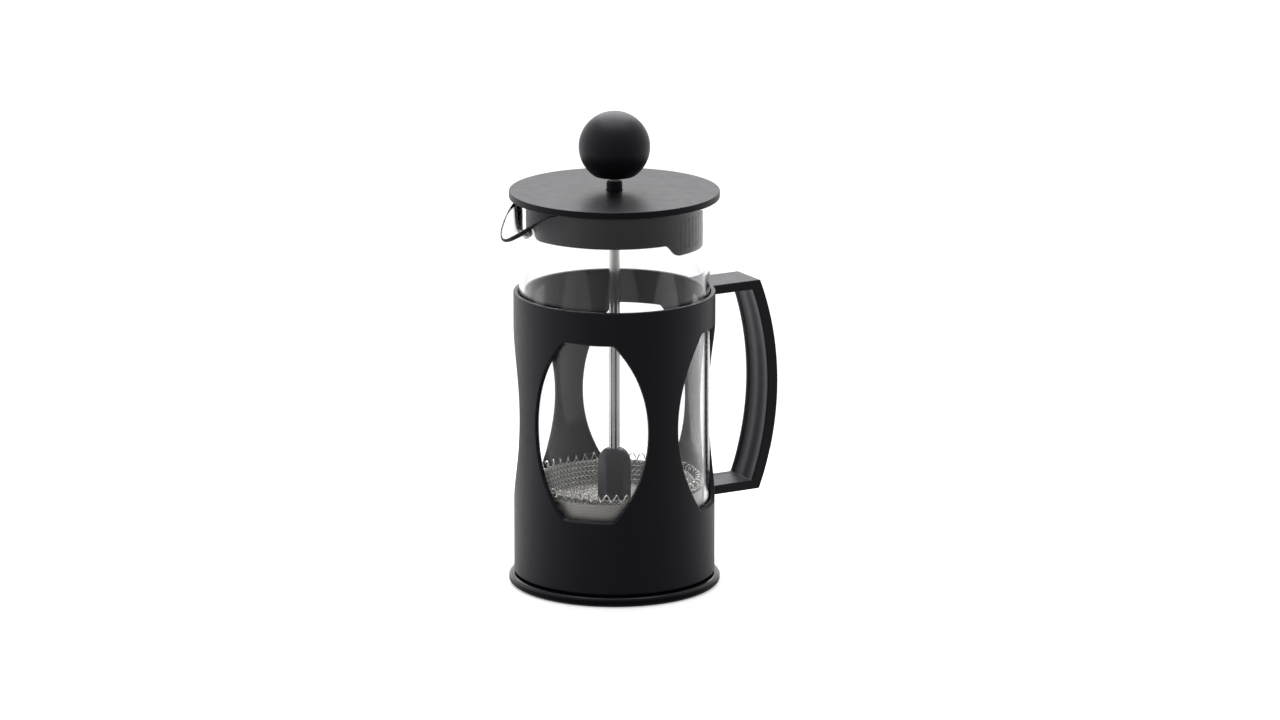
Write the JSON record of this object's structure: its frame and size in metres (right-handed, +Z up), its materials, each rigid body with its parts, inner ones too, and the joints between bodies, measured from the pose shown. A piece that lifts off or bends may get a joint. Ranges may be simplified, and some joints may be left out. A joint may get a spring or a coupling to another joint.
{
  "type": "french press",
  "caption": "Small french press: spouted glass beaker in a windowed black frame with a D handle, flat lid with strainer skirt, and a sprung plunger filter under a ball knob.",
  "frame": {"origin": "on the beaker's axis, at the flat underside of the base", "axes": "+Z up along the axis, +X towards the handle, -X towards the pouring spout"},
  "size_m": [0.1115, 0.0778, 0.1766],
  "materials": {
    "black_plastic": "satin moulded polypropylene",
    "black_gloss_plastic": "polished moulded plastic",
    "grey_plastic": "satin moulded nylon",
    "glass": "clear fire-polished borosilicate",
    "bright_steel": "polished stainless steel",
    "plate_steel": "stamped stainless sheet",
    "woven_steel": "fine woven stainless mesh",
    "brass": "turned, threaded"
  },
  "bodies": {
    "jug": {"frame": "black_plastic", "handle": "black_plastic", "base_cap": "black_gloss_plastic"},
    "beaker": {"glass_beaker": "glass"},
    "guide": {"rod_guide_bush": "black_plastic"},
    "lid": {"lid_cover": "black_plastic", "lid_strainer": "black_plastic"},
    "plunger": {"plunger_rod": "bright_steel", "knob": "black_plastic", "knob_insert": "brass", "filter_boss": "grey_plastic", "spiral_plate": "plate_steel", "edge_spring": "bright_steel", "mesh_screen": "woven_steel", "cross_plate": "plate_steel", "filter_nut": "plate_steel"}
  },
  "joints": [
    {"name": "beaker_lift", "type": "slide", "parent": "jug", "child": "beaker", "axis": [0, 0, 1], "range_m": [0, 0.107]},
    {"name": "lid_lift", "type": "slide", "parent": "beaker", "child": "guide", "axis": [0, 0, 1], "range_m": [0, 0.12]},
    {"name": "lid_turn", "type": "hinge", "parent": "guide", "child": "lid", "pos_m": [0, 0, 0.146], "axis": [0, 0, 1], "continuous": true},
    {"name": "plunger_slide", "type": "slide", "parent": "guide", "child": "plunger", "axis": [0, 0, 1], "range_m": [-0.0018, 0.0865]}
  ]
}
